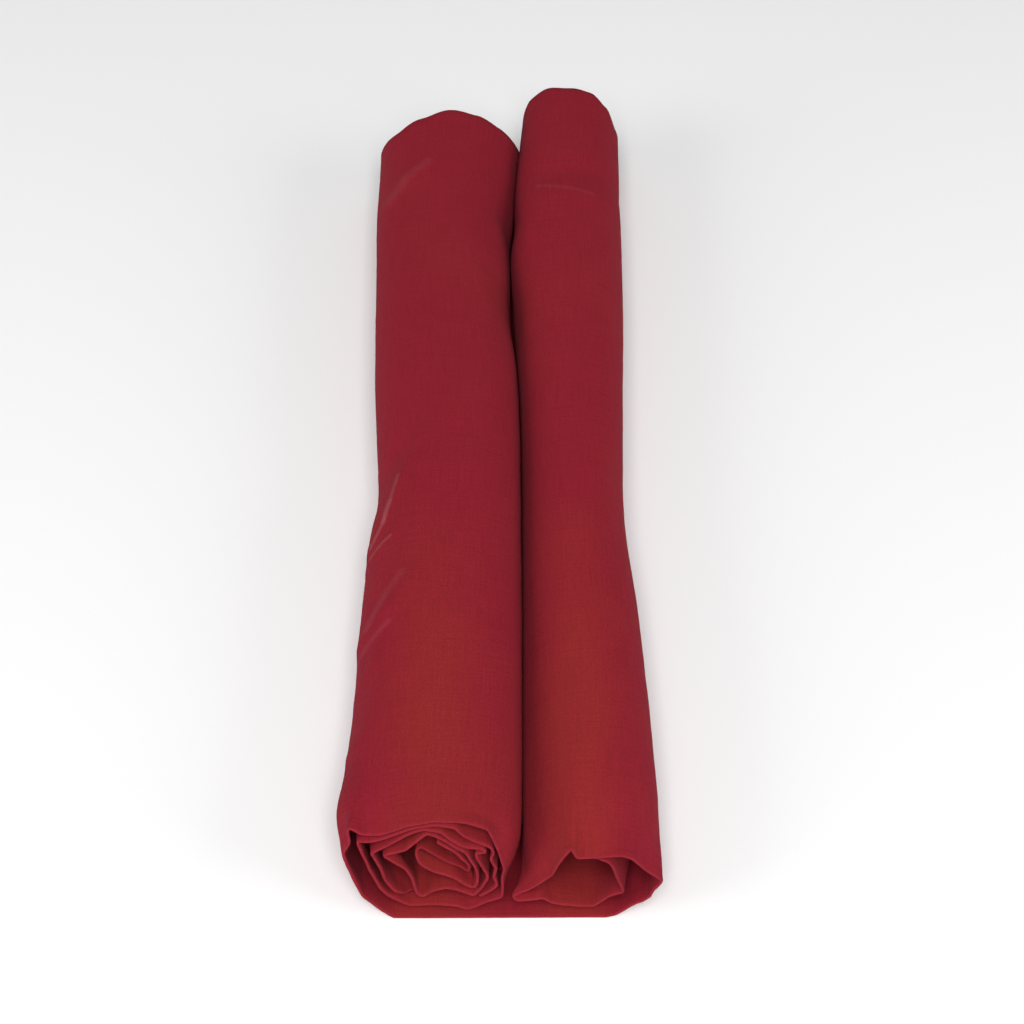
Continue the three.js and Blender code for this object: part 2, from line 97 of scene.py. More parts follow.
# the near edge of the cloth round each roll, a row for each fold: its place, how far it
# stands forward, and how far in it has gone down to about a third
foldColumns = ("x", "z", "front", "reach")
leftFolds = {
    "outerLap": [
        (-36, base, 0.5, 20), (-52.5, base, 0.5, 20), (-57.6, 4.3, 0, 20), (-67.3, 14, 0, 20),
        (-72.6, 30, 0, 18), (-74.6, 41.5, 0, 14), (-71.2, 47.3, 0, 10), (-72, 53.5, 0, 8),
        (-70.8, 57, 0, 8), (-65.2, 53.3, 0, 12), (-57.5, 53.6, 0, 14), (-43, 59.2, 0, 14),
        (-30.5, 62, 0, 14), (-17, 61.3, 0, 11), (-5.5, 57, 0, 7), (-1.8, 47, 0, 6),
        (0.6, 38, 0, 5.5), (2, 31, 0, 5.5), (0.9, 25, 0, 5.5), (1.6, 18.5, 0, 5.5),
        (0.8, 13.5, 0, 7), (-6, 10.5, 0, 12), (-16, 5.6, 0, 20), (-20.5, 7.4, 0, 20),
        (-29, 8.8, 0, 20), (-40, 8.6, 0, 20), (-43.7, 8, 0, 20),
    ],
    "secondLap": [
        (-48.8, 10.6, 0, 20), (-55, 14.8, 0, 20), (-58.4, 19.5, 0, 20), (-63.4, 33, 0, 20),
        (-66, 41.5, 0, 20), (-67.6, 48.9, 0, 20), (-62.5, 48.6, 0, 20), (-54, 51.8, 0, 20),
        (-42, 57.2, 0, 20), (-30, 59.6, 0, 20), (-21.5, 57.8, 0, 20), (-17, 52.6, 0, 20),
        (-10.5, 48.6, 0, 20), (-4, 45.2, 0, 20), (-3, 41.5, 0, 20), (-4.4, 38, 0, 20),
        (-1.9, 31.8, 0, 20), (-3, 26.5, 0, 20), (-1.3, 21, 0, 20), (-4.6, 17.6, 0, 20),
        (-9.4, 14.2, 0, 20),
    ],
    "thirdLap": [
        (-14, 9.8, -8, 20), (-27, 11.7, -8, 20), (-40, 11.4, -8, 20), (-46.5, 12.6, -3, 20),
        (-51.2, 16.8, 0, 20), (-55.3, 23.5, 0, 20), (-57.8, 32, 0, 20), (-61.7, 41.5, 0, 20),
        (-54.5, 46.3, 0, 20), (-42.5, 54.3, 0, 20), (-36, 56.8, 0, 20), (-28, 55.2, 0, 20),
        (-24.3, 51, 0, 20), (-19, 46.8, 0, 20), (-15.9, 45.4, 0, 20), (-8.4, 44.4, 0, 20),
        (-6.6, 42.4, 0, 20), (-11.5, 41.6, 0, 20), (-11.3, 39.2, 0, 20), (-9.3, 34.5, 0, 20),
        (-6.2, 28.6, 0, 20), (-5.8, 25.5, 0, 20), (-9.2, 18.6, 0, 20),
    ],
    "fourthLap": [
        (-12.8, 14.6, 0, 20), (-21.5, 18.6, 0, 20), (-26, 19.5, 0, 20), (-32.4, 17.8, 0, 20),
        (-37.8, 13.9, 0, 20), (-40.4, 15.4, 0, 20), (-42.6, 25.5, 0, 20), (-45.6, 31.3, 0, 20),
        (-50, 35.2, 0, 20), (-56.3, 40.2, 0, 20), (-45.5, 43.6, 0, 20), (-40.5, 48.8, 0, 20),
        (-35, 54.2, 0, 20), (-31, 53, 0, 20), (-25.3, 48.9, 0, 20), (-20, 44.6, 0, 20),
        (-16.6, 42.2, 0, 20), (-14.6, 38, 0, 20), (-12, 32.5, 0, 20), (-10.8, 28, 0, 20),
        (-11, 21.5, 0, 20),
    ],
    "innermostFold": [
        (-13, 19.4, 0, 20), (-17.5, 21.8, 0, 20), (-21.8, 26, 0, 20), (-31, 29.6, 0, 20),
        (-36, 32.6, 0, 20), (-38.7, 35.3, 0, 20), (-40.4, 39, -1, 20), (-40, 41.8, -3, 20),
        (-37.6, 40.4, -4.5, 20), (-29.5, 34, -4.5, 20), (-25, 30.9, -4.5, 20),
        (-19, 28, -4.5, 20), (-15.4, 25.3, -4, 20), (-14.2, 31, -2, 20), (-17.5, 37.5, 0, 20),
        (-20.5, 41.5, 0, 20), (-30, 48.6, 0, 20),
    ],
}
rightFolds = {
    "outerLap": [
        (40, base, 0, 20), (52.5, base, 0, 20), (57, 2.4, 0, 20), (61, 6, 0, 20),
        (65.8, 11, 0, 20), (70, 13.4, 0, 20), (73.5, 16.8, 0, 20), (75.8, 22.5, 0, 20),
        (79.2, 29, 0, 20), (72.5, 36, 0, 16), (64, 46.3, 0, 16), (59, 48.3, 0, 16),
        (44, 46.8, 0, 14), (37.5, 46.3, 0, 10), (34.3, 53, 0, 7), (29, 43.5, 0, 12),
        (25.5, 33.5, 0, 12), (14, 22, 0, 10), (6.3, 17.2, 0, 8),
    ],
    "innerLap": [
        (8, 13.6, 0, 8), (15, 14.2, 0, 12), (21, 15.5, 0, 20), (25, 12.3, 0, 20),
        (31, 10.3, 0, 20), (46, 9.2, 0, 20), (53.5, 17, 0, 20), (60.5, 20.3, 0, 20),
        (57.8, 29, 0, 20), (53.3, 42.5, 0, 20), (44, 43, -4, 20), (36, 42.5, -10, 20),
        (31.5, 36, -12, 20), (27, 27, -12, 20), (23, 21, -12, 20),
    ],
}

# soft dents (-) and ridges (+) of the rolls between their ends
dentColumns = ("x", "y", "long", "wide", "turned", "out")
dents = [
    (-66, -48, 42, 8, 22, -3),
    (-70, -66, 30, 7, 22, 2),
    (4, 96, 26, 9, 0, -3.5),
    (5, 175, 20, 9, 0, -3),
    (-58, 190, 60, 12, -20, -1.8),
    (46, 205, 9, 34, 0, -1.5),
    (-74, -185, 40, 10, 14, -2),
    (-76, -254, 18, 13, 0, 4.3),
]
dentOverlap = 0.5                         # how far below the middle the dents reach

# small creases on top of the rolls, each a straight stretch from one place to another:
# its width, how sharp its crest is (1 is sharp, 2 is round) and how far it stands out
creaseColumns = ("x", "y", "toX", "toY", "wide", "crest", "out")
creases = [
    (-53, -44, -61, -69, 2.4, 1.1, 1.5),      # left roll, in front of the waist
    (-61, -69, -70, -88, 2.4, 1.1, 1.5),
    (-56, -84, -71, -96, 2.2, 1.2, 0.9),
    (-46, -117, -58, -137, 4, 1.4, 1.2),      # long soft ridge towards the outer side
    (-58, -137, -73, -148, 4, 1.4, 1.3),
    (-64, -165, -75, -182, 3.5, 1.3, 1.0),
    (-68, -211, -76, -217, 3.5, 1.3, 0.8),
    (-36, -192, -54, -200, 3.5, 1.5, 0.3),
    (-54, -200, -61, -209, 3.5, 1.5, 0.4),
    (-46, 207, -59, 197, 4, 1.4, 1.1),        # left roll, towards the far rim
    (-59, 197, -69, 180, 4, 1.4, 1.1),
    (-69, 180, -74, 154, 5, 1.5, 0.5),
    (-44, 217, -31, 228, 3, 1.3, 0.35),
    (-72, 150, -50, 136, 4, 1.6, -0.3),
    (-3, 172, -13, 170, 4, 1.2, -0.8),        # notches of the left roll's valley side
    (-12, 169, -3, 160, 3, 1.2, 0.5),
    (-8, 118, 2, 112, 4, 1.2, -0.8),
    (27, 187, 45, 183, 3, 1.3, 0.45),         # right roll, across near the far rim
    (45, 183, 57, 183, 3, 1.3, 0.45),
    (56, 183, 62, 176, 3, 1.3, 0.45),
    (13, 188, 16, 150, 4, 1.5, 0.6),
    (60, -262, 72, -284, 5, 1.5, -0.7),
    (4, -262, 2, -276, 3, 1.3, 0.5),
    (-12, -262, 0, -264, 2.5, 1.2, -0.5),     # pinch beside the left roll's lip
]

# the mesh of the cloth, in millimetres
clothMesh = {
    "denseStep": 0.4,                     # along the near edge, before the columns are chosen
    "curve": 0.45,                        # how much the edge bows between its folds
    "foldRound": 1.0,                     # how far a fold's corner is rounded
    "outerStep": 2.2,                     # between columns on the outer laps
    "innerStep": 4.0,
    "foldStep": 0.95,                     # and close to a fold
    "foldZone": 2.4,
    "nearRows": 15,                       # close together from the near lip on
    "nearReach": 30.0,
    "nearCrowding": 1.4,
    "creaseRows": 16,                     # and from there as far as the creases go
    "creaseReach": 110.0,
    "plainRows": 81,
    "creaseEvery": 2,                     # hidden laps keep every second crease row
    "plainEvery": 5,                      # and every fifth plain row
    "shownTurns": (0.1, 0.93),            # the part of the outer lap that is seen
    "lipSteps": 3,                        # round an edge of the cloth
    "endRound": 0.93,                     # how far the cloth's two inner ends are rounded over
}


def mix(a, b, share):
    return a + (b - a) * share


def smoothStep(value):
    share = np.clip(value, 0, 1)
    return share * share * (3 - 2 * share)


def stationValue(column, y):
    # a smooth curve through one column of the stations
    table = np.array(stations, float)
    place = table[:, 0]
    value = table[:, stationColumns.index(column)]
    last = len(place) - 2
    index = np.clip(np.searchsorted(place, y) - 1, 0, last)
    before = np.maximum(index - 1, 0)
    after = np.minimum(index + 2, last + 1)
    span = place[index + 1] - place[index]
    share = np.clip((y - place[index]) / span, 0, 1)
    slopeIn = (value[index + 1] - value[before]) / (place[index + 1] - place[before]) * span
    slopeOut = (value[after] - value[index]) / (place[after] - place[index]) * span
    square, cube = share ** 2, share ** 3
    return (value[index] * (2 * cube - 3 * square + 1) + slopeIn * (cube - 2 * square + share)
            + value[index + 1] * (3 * square - 2 * cube) + slopeOut * (cube - square))


def rollAt(side, y):
    # centre and half sizes of a roll's outer lap, in the middle of the cloth's thickness
    outward = -1 if side == "left" else 1
    step = cloth["lapStep"][side]
    outerSide = outward * stationValue(side, y)
    valleySide = outward * stationValue("valley", y) + cloth["valleyGap"] / 2
    halfWidth = (outerSide - valleySide - cloth["wall"] + step) / 2
    halfHeight = (stationValue(side + "Top", y) - cloth["wall"] + step / 2) / 2
    x = outward * (outerSide - base - halfWidth + step / 4)
    shoulder = stationValue("shoulder", y) if side == "right" else 0 * x
    return {"outward": outward, "step": step, "halfWidth": halfWidth, "halfHeight": halfHeight,
            "lean": stationValue("lean", y), "shoulder": shoulder, "x": x, "z": base + halfHeight}


def spiral(roll, turn):
    # turn 0 is the middle of the underside, 0.25 the outer side, 0.5 the top
    angle = 2 * math.pi * turn
    power = 2 / cloth["roundness"]
    inward = roll["step"] * turn
    sine, cosine = np.sin(angle), np.cos(angle)
    across = np.sign(sine) * np.abs(sine) ** power
    down = np.sign(cosine) * np.abs(cosine) ** power
    lean = roll["lean"] * down * np.maximum(1 - turn / cloth["leaningTurns"], 0)
    leaning = (lean - roll["shoulder"] * np.minimum(down, 0)) * np.minimum(across, 0)
    return (roll["x"] + roll["outward"] * (roll["halfWidth"] - inward) * across - leaning,
            roll["z"] - (roll["halfHeight"] - inward) * down)


def shareOfTurn(roll, x, z):
    outwards = roll["outward"] * (x - roll["x"]) / roll["halfWidth"]
    downwards = (roll["z"] - z) / roll["halfHeight"]
    return math.atan2(outwards, downwards) / (2 * math.pi)


def foldsOf(side, tables):
    # the folds of one roll in order from the web, each with its turn counted on from there
    roll = rollAt(side, np.float64(cloth["nearEnd"]))
    folds = []
    for lap, table in tables.items():
        for row in table:
            fold = dict(zip(foldColumns, row))
            fold["right"] = 0.0 if side == "left" else 1.0
            fold["inner"] = 1.0 if lap == "innermostFold" else 0.0
            fold["outer"] = 1.0 if lap == "outerLap" else 0.0
            fold["turn"] = 0.0
            if folds:
                last = folds[-1]
                change = shareOfTurn(roll, fold["x"], fold["z"]) - last["turn"]
                ahead = change - round(change)
                length = math.hypot(fold["x"] - last["x"], fold["z"] - last["z"])
                fold["turn"] = last["turn"] + max(ahead, length / cloth["slowestTurn"])
            folds.append(fold)
    return folds


def evenOut(values, reach, span):
    # a weighted mean along the edge
    spacing = np.gradient(reach)
    result = np.empty_like(values)
    for index in range(len(reach)):
        low, high = np.searchsorted(reach, (reach[index] - 3 * span, reach[index] + 3 * span))
        near = slice(low, high)
        weight = spacing[near] * np.exp(-((reach[near] - reach[index]) / span) ** 2)
        result[index] = (values[near] * weight[:, None]).sum(0) / weight.sum()
    return result


def nearEdgeCurve():
    # the folds joined by a lightly bowed line, every fraction of a millimetre
    folds = foldsOf("right", rightFolds)[::-1] + foldsOf("left", leftFolds)
    keys = ("x", "z", "front", "reach", "turn", "right", "inner", "outer")
    flags = keys.index("right")
    rows = np.array([[fold[key] for key in keys] for fold in folds])
    place = rows[:, :2]
    length = np.hypot(*np.diff(place, axis=0).T)
    reach = np.concatenate([[0], np.cumsum(length)])
    slope = np.gradient(place, reach, axis=0) * clothMesh["curve"]
    pieces = []
    for index, span in enumerate(length):
        count = max(2, math.ceil(span / clothMesh["denseStep"]))
        share = np.arange(count)[:, None] / count
        piece = mix(rows[index], rows[index + 1], share)
        if rows[index, flags] == rows[index + 1, flags]:
            piece[:, flags:] = rows[index, flags:]
        straight = (place[index + 1] - place[index]) / span
        lift = span * ((share ** 3 - 2 * share ** 2 + share) * (slope[index] - straight)
                       + (share ** 3 - share ** 2) * (slope[index + 1] - straight))
        piece[:, :2] += lift * clothMesh["curve"]
        pieces.append(piece)
    pieces.append(rows[-1:])
    dense = np.concatenate(pieces)
    step = np.hypot(*np.diff(dense[:, :2], axis=0).T)
    along = np.concatenate([[0], np.cumsum(step)])
    foldStarts = along[np.cumsum([0] + [len(piece) for piece in pieces[:-1]])]
    broad = evenOut(dense[:, :2], along, cloth["broadSpan"])
    rounded = evenOut(dense[:, :2], along, clothMesh["foldRound"])
    curve = {key: dense[:, index] for index, key in enumerate(keys)}
    curve["x"], curve["z"] = rounded[:, 0], np.maximum(rounded[:, 1], base)
    curve["broadX"], curve["broadZ"] = broad[:, 0], np.maximum(broad[:, 1], base)
    curve["fromFold"] = np.abs(along[:, None] - foldStarts[None, :]).min(1)
    return curve


def isOnWeb(edge):
    # the flat cloth between the rolls, where no turn has begun
    return edge["turn"] < 1e-9


def plainPlace(edge, y):
    # where the cloth lies inside the rolls, past the creases of the near end
    left, right = rollAt("left", y), rollAt("right", y)
    isRight = edge["right"] > 0.5
    onWeb = isOnWeb(edge)
    turnedLeft, turnedRight = spiral(left, edge["turn"]), spiral(right, edge["turn"])
    x = np.where(isRight, turnedRight[0], turnedLeft[0])
    z = np.where(isRight, turnedRight[1], turnedLeft[1])
    scale = cloth["innerScale"]
    isInner = edge["inner"] > 0.5
    x = np.where(isInner, left["x"] + (edge["x"] - left["x"]) * scale, x)
    z = np.where(isInner, left["z"] + (edge["z"] - left["z"]) * scale, z)
    x = np.where(onWeb, mix(left["x"], right["x"], edge["right"]), x)
    z = np.where(onWeb, base, z)
    return x, z


def dentAt(x, y):
    # how far the dents move a place on the outside of the rolls
    depth = np.zeros_like(x)
    for row in dents:
        dent = dict(zip(dentColumns, row))
        turned = math.radians(dent["turned"])
        along = (y - dent["y"]) * math.cos(turned) + (x - dent["x"]) * math.sin(turned)
        aside = (x - dent["x"]) * math.cos(turned) - (y - dent["y"]) * math.sin(turned)
        depth += dent["out"] * np.exp(-(along / dent["long"]) ** 2 - (aside / dent["wide"]) ** 2)
    return depth


def creaseAt(x, y):
    # and how far the small creases do
    depth = np.zeros_like(x)
    for row in creases:
        crease = dict(zip(creaseColumns, row))
        run = np.array([crease["toX"] - crease["x"], crease["toY"] - crease["y"]])
        length = np.hypot(*run)
        ahead = run / length
        along = (x - crease["x"]) * ahead[0] + (y - crease["y"]) * ahead[1]
        past = np.abs(along - np.clip(along, 0, length))
        aside = (x - crease["x"]) * ahead[1] - (y - crease["y"]) * ahead[0]
        away = np.hypot(aside, past)
        depth += crease["out"] * np.exp(-(away / crease["wide"]) ** crease["crest"])
    return depth


def chosenColumns(curve):
    # closer together at the folds and on the outer laps
    x, z = plainPlace(curve, np.zeros_like(curve["x"]))
    nearStep = np.hypot(np.diff(curve["x"]), np.diff(curve["z"]))
    plainStep = np.hypot(np.diff(x), np.diff(z))
    low, high = clothMesh["shownTurns"]
    turn = curve["turn"]
    curve["shown"] = (curve["outer"] > 0.5) & (turn > low) & (turn < high)
    wide = np.where(curve["shown"], clothMesh["outerStep"], clothMesh["innerStep"])
    close = np.exp(-(curve["fromFold"] / clothMesh["foldZone"]) ** 2)
    step = mix(wide, clothMesh["foldStep"], close)[:-1]
    count = np.concatenate([[0], np.cumsum(np.maximum(nearStep, plainStep) / step)])
    wanted = np.linspace(0, count[-1], round(count[-1]) + 1)
    spread = np.arange(len(count))
    position = np.interp(wanted, count, spread)
    edge = {key: np.interp(position, spread, value) for key, value in curve.items()}
    for key in ("inner", "outer", "shown"):
        edge[key] = np.round(edge[key])
    return {key: value[:, None] for key, value in edge.items()}


def rowDistances(length):
    # how far in from the near lip each row of the grid is
    nearShare = np.arange(clothMesh["nearRows"]) / clothMesh["nearRows"]
    near = clothMesh["nearReach"] * nearShare ** clothMesh["nearCrowding"]
    creased = np.linspace(clothMesh["nearReach"], clothMesh["creaseReach"],
                          clothMesh["creaseRows"], endpoint=False)
    plain = np.linspace(clothMesh["creaseReach"], length, clothMesh["plainRows"])
    return np.concatenate([near, creased, plain])


def coarseRows():
    # the rows that the hidden laps keep
    near = list(range(clothMesh["nearRows"]))
    first = clothMesh["nearRows"]
    creased = list(range(first, first + clothMesh["creaseRows"], clothMesh["creaseEvery"]))
    first += clothMesh["creaseRows"]
    plain = list(range(first, first + clothMesh["plainRows"], clothMesh["plainEvery"]))
    return near + creased + plain


def farEdgeAt(side, turn):
    # where a roll's far edge is at a turn round it
    table = np.array(rims, float)
    part = turn - np.floor(turn)
    index = np.clip(np.searchsorted(table[:, 0], part, side="right") - 1, 0, len(table) - 2)
    start, end = table[index], table[index + 1]
    column = rimColumns.index(side)
    share = smoothStep((part - start[..., 0]) / (end[..., 0] - start[..., 0]))
    drawnBack = mix(start[..., column], end[..., column], share)
    return cloth["farEnd"][side] - drawnBack - cloth["lapRecess"] * np.floor(turn)


def clothGrid(edge):
    # the middle of the cloth's thickness, a column for each place round the rolls
    slant = mix(cloth["slant"]["left"], cloth["slant"]["right"], edge["right"])
    nearEdge = cloth["nearEnd"] - edge["front"] + edge["z"] * slant
    farEdge = mix(farEdgeAt("left", edge["turn"]), farEdgeAt("right", edge["turn"]),
                  smoothStep(edge["right"]))
    distance = rowDistances(cloth["farEnd"]["left"] - cloth["nearEnd"])
    share = (distance / distance[-1])[None, :]
    y = mix(nearEdge + base, farEdge - base, share)
    inside = y - nearEdge
    plainX, plainZ = plainPlace(edge, y)
    sharp = np.exp(-(inside / edge["reach"]) ** cloth["fadePower"])
    broad = np.exp(-(inside / edge["reach"] / cloth["broadReach"]) ** cloth["fadePower"])
    x = mix(plainX, edge["broadX"], broad) + (edge["x"] - edge["broadX"]) * sharp
    z = mix(plainZ, edge["broadZ"], broad) + (edge["z"] - edge["broadZ"]) * sharp
    onWeb = isOnWeb(edge)
    isRight = edge["right"] > 0.5
    rolls = {side: rollAt(side, y) for side in ("left", "right")}
    roll = {key: np.where(isRight, rolls["right"][key], rolls["left"][key])
            for key in ("x", "z", "halfWidth", "halfHeight")}
    outX = (x - roll["x"]) / roll["halfWidth"]
    outZ = (z - roll["z"]) / roll["halfHeight"]
    upper = smoothStep(outZ + dentOverlap)
    depth = np.where(onWeb, 0, (dentAt(x, y) + edge["outer"] * creaseAt(x, y)) * upper)
    x = x + depth * outX
    z = np.where(onWeb, base, z + depth * outZ)
    grid = np.stack([x, y, np.maximum(z, base)], axis=-1)
    return grid, inside


def unit(vectors):
    return vectors / np.maximum(np.linalg.norm(vectors, axis=-1, keepdims=True), 1e-12)


def clothDirections(grid):
    # square to the cloth, along its section and along the roll, at each point of the grid
    step = unit(np.diff(grid, axis=0))
    alongSection = np.concatenate([step[:1], unit(step[1:] + step[:-1]), step[-1:]])
    alongRoll = unit(np.gradient(grid, axis=1))
    return unit(np.cross(alongSection, alongRoll)), alongSection, alongRoll


def clothSections(grid):
    # each section runs along the top skin, over the far lip, back and over the near lip
    normal, alongSection, alongRoll = clothDirections(grid)
    half = cloth["wall"] / 2
    lips = np.linspace(0, math.pi, clothMesh["lipSteps"] + 2)[1:-1]
    ends = np.linspace(0, math.pi / 2, clothMesh["lipSteps"] + 1)[1:] * clothMesh["endRound"]
    layout = [(0, -math.sin(a), math.cos(a)) for a in ends[::-1]]
    layout += [(column, 0, 1) for column in range(len(grid))]
    layout += [(len(grid) - 1, math.sin(a), math.cos(a)) for a in ends]
    sections = []
    for column, shift, thin in layout:
        middle = grid[column] + alongSection[column] * half * shift
        out = normal[column] * half * thin
        ahead = alongRoll[column] * half * thin
        farLip = [middle[-1] + out[-1] * math.cos(a) + ahead[-1] * math.sin(a) for a in lips]
        nearLip = [middle[0] - out[0] * math.cos(a) - ahead[0] * math.sin(a) for a in lips]
        sections.append(np.concatenate([middle + out, farLip, (middle - out)[::-1], nearLip]))
    return np.array(sections), layout, normal


def clothFaces(sectionCount, rows, fine):
    # every row between two shown sections, and fewer where the cloth is hidden
    lip = clothMesh["lipSteps"]
    around = 2 * rows + 2 * lip
    coarse = coarseRows()

    def top(section, row):
        return section * around + row

    def under(section, row):
        return section * around + 2 * rows + lip - 1 - row

    faces = []
    for section in range(sectionCount - 1):
        bothFine = fine[section] and fine[section + 1]
        for start, end in zip(coarse[:-1], coarse[1:]):
            spans = [(row, row + 1) for row in range(start, end)] if bothFine else [(start, end)]
            for low, high in spans:
                here = range(low, high + 1) if fine[section] else (low, high)
                there = range(low, high + 1) if fine[section + 1] else (low, high)
                for side, backwards in ((top, True), (under, False)):
                    face = [side(section, row) for row in here]
                    face += [side(section + 1, row) for row in reversed(there)]
                    faces.append(face[::-1] if backwards else face)
        for first in (rows - 1, 2 * rows + lip - 1):
            for step in range(first, first + lip + 1):
                a, b = section * around + step, section * around + (step + 1) % around
                faces.append([a, a + around, b + around, b])
    for section, backwards in ((0, False), (sectionCount - 1, True)):
        farFan = [section * around + step for step in range(rows - 1, rows + lip + 1)]
        nearFan = [section * around + step % around
                   for step in range(2 * rows + lip - 1, 2 * rows + 2 * lip + 1)]
        caps = [farFan, nearFan]
        for low, high in zip(coarse[:-1], coarse[1:]):
            caps.append([top(section, low), top(section, high),
                         under(section, high), under(section, low)])
        faces += [face[::-1] if backwards else face for face in caps]
    return faces


def newMesh(name, points, faces):
    mesh = bpy.data.meshes.new(name)
    mesh.from_pydata(points.tolist(), [], faces)
    mesh.update()
    piece = bpy.data.objects.new(name, mesh)
    bpy.context.collection.objects.link(piece)
    return piece


def addAttribute(mesh, name, kind, values):
    attribute = mesh.attributes.new(name, kind, "POINT")
    key = "vector" if kind == "FLOAT_VECTOR" else "value"
    attribute.data.foreach_set(key, values.astype(np.float32).ravel())


def newTree(name, inputs):
    # a Geometry Nodes tree with its named inputs; returns what the nodes are linked to
    tree = bpy.data.node_groups.new(name, "GeometryNodeTree")
    tree.interface.new_socket("Geometry", in_out="INPUT", socket_type="NodeSocketGeometry")
    for label, kind in inputs.items():
        tree.interface.new_socket(label, in_out="INPUT", socket_type="NodeSocket" + kind)
    tree.interface.new_socket("Geometry", in_out="OUTPUT", socket_type="NodeSocketGeometry")
    start = tree.nodes.new("NodeGroupInput")
    end = tree.nodes.new("NodeGroupOutput")
    return tree, start.outputs, end.inputs


def addNode(tree, kind, settings=(), **inputs):
    # inputs are named by their sockets, or in0, in1 where two have the same name
    node = tree.nodes.new(kind)
    for key, value in dict(settings).items():
        setattr(node, key, value)
    for key, value in inputs.items():
        numbered = key[:2] == "in" and key[2:].isdigit()
        socket = node.inputs[int(key[2:])] if numbered else node.inputs[key]
        if isinstance(value, bpy.types.NodeSocket):
            tree.links.new(value, socket)
        else:
            socket.default_value = value
    return node


def math2(tree, operation, first, second):
    node = addNode(tree, "ShaderNodeMath", {"operation": operation}, in0=first, in1=second)
    return node.outputs[0]


def sineOf(tree, angle):
    return addNode(tree, "ShaderNodeMath", {"operation": "SINE"}, in0=angle).outputs[0]


def vector2(tree, operation, first, second):
    key = "in3" if operation == "SCALE" else "in1"
    node = addNode(tree, "ShaderNodeVectorMath", {"operation": operation},
                   **{"in0": first, key: second})
    return node.outputs[0]


def finishTree(tree, geometry, material, ends):
    # every tree ends with real meshes and their cloth
    real = addNode(tree, "GeometryNodeRealizeInstances", Geometry=geometry)
    dressed = addNode(tree, "GeometryNodeSetMaterial", Geometry=real.outputs[0], Material=material)
    tree.links.new(dressed.outputs[0], ends[0])


def useTree(piece, tree, values):
    # runs the tree on a piece, and keeps what it makes as a plain mesh
    modifier = piece.modifiers.new(tree.name, "NODES")
    modifier.node_group = tree
    for item in tree.interface.items_tree:
        if item.name in values:
            modifier[item.identifier] = values[item.name]
    graph = bpy.context.evaluated_depsgraph_get()
    made = bpy.data.meshes.new_from_object(piece.evaluated_get(graph),
                                           preserve_all_data_layers=True, depsgraph=graph)
    piece.modifiers.clear()
    piece.data = made
    made.name = piece.name
    return piece


# the soft unevenness of thin cotton that no table row makes
wrinkles = {
    "Wrinkle depth": 0.0011,              # metres, before the slack of each place
    "Wrinkles per metre": 34.0,
    "Pucker depth": 0.0006,
    "Puckers per metre": 95.0,
    "Ripple depth": 0.0013,               # of the near lips
    "Ripples per metre": 120.0,
    "Seed": 3.0,
}
wrinkleGrain = (1.0, 0.42, 1.0)           # they run along the rolls
wrinkleTurn = 24.0                        # degrees away from them


def noiseAround(tree, place, perMetre, seed, detail):
    noise = addNode(tree, "ShaderNodeTexNoise", {"noise_dimensions": "4D"},
                    Vector=place, Scale=perMetre, W=seed, Detail=detail)
    return math2(tree, "SUBTRACT", noise.outputs[0], 0.5)


def wrinkleTree():
    inputs = {"Cloth": "Material"}
    inputs.update({label: "Float" for label in wrinkles})
    tree, given, ends = newTree("clothWrinkles", inputs)
    place = addNode(tree, "GeometryNodeInputPosition").outputs[0]
    turned = addNode(tree, "ShaderNodeVectorRotate", {"rotation_type": "Z_AXIS"},
                     Vector=place, Angle=math.radians(wrinkleTurn)).outputs[0]
    grain = vector2(tree, "MULTIPLY", turned, wrinkleGrain)
    named = {}
    for name, kind in (("slack", "FLOAT"), ("lip", "FLOAT"), ("outward", "FLOAT_VECTOR")):
        node = addNode(tree, "GeometryNodeInputNamedAttribute", {"data_type": kind}, Name=name)
        named[name] = node.outputs["Attribute"]
    wide = noiseAround(tree, grain, given["Wrinkles per metre"], given["Seed"], 1.0)
    close = noiseAround(tree, place, given["Puckers per metre"], given["Seed"], 2.0)
    ripple = noiseAround(tree, place, given["Ripples per metre"], given["Seed"], 1.0)
    slackDepth = math2(tree, "ADD", math2(tree, "MULTIPLY", wide, given["Wrinkle depth"]),
                       math2(tree, "MULTIPLY", close, given["Pucker depth"]))
    lipDepth = math2(tree, "MULTIPLY", ripple, given["Ripple depth"])
    depth = math2(tree, "ADD", math2(tree, "MULTIPLY", slackDepth, named["slack"]),
                  math2(tree, "MULTIPLY", lipDepth, named["lip"]))
    moved = addNode(tree, "GeometryNodeSetPosition", Geometry=given["Geometry"],
                    Offset=vector2(tree, "SCALE", named["outward"], depth))
    smooth = addNode(tree, "GeometryNodeSetShadeSmooth", Geometry=moved.outputs[0])
    finishTree(tree, smooth.outputs[0], given["Cloth"], ends)
    return tree


# where the cloth is free to wrinkle: how high above the floor, and how far from a lip
slackness = {
    "shown": 1.0,
    "hidden": 0.35,
    "floorGap": 2.5,                      # mm above the floor before it starts
    "floorRise": 9.0,
    "lipReach": 11.0,                     # mm in from a near lip that ripples go
    "lipHighlightReach": 0.8,                     # and the painted highlight along it, a paler line
}

# painted light: the warmer, lighter red along the middle of each roll's top, where light falls,
# stronger towards the near end, in mm
paintedLitTops = {
    "left": (-33.0, 24.0),                # its middle and half its width
    "right": (38.0, 15.0),
    "starts": -20.0,                      # along the rolls
    "full": -200.0,
}


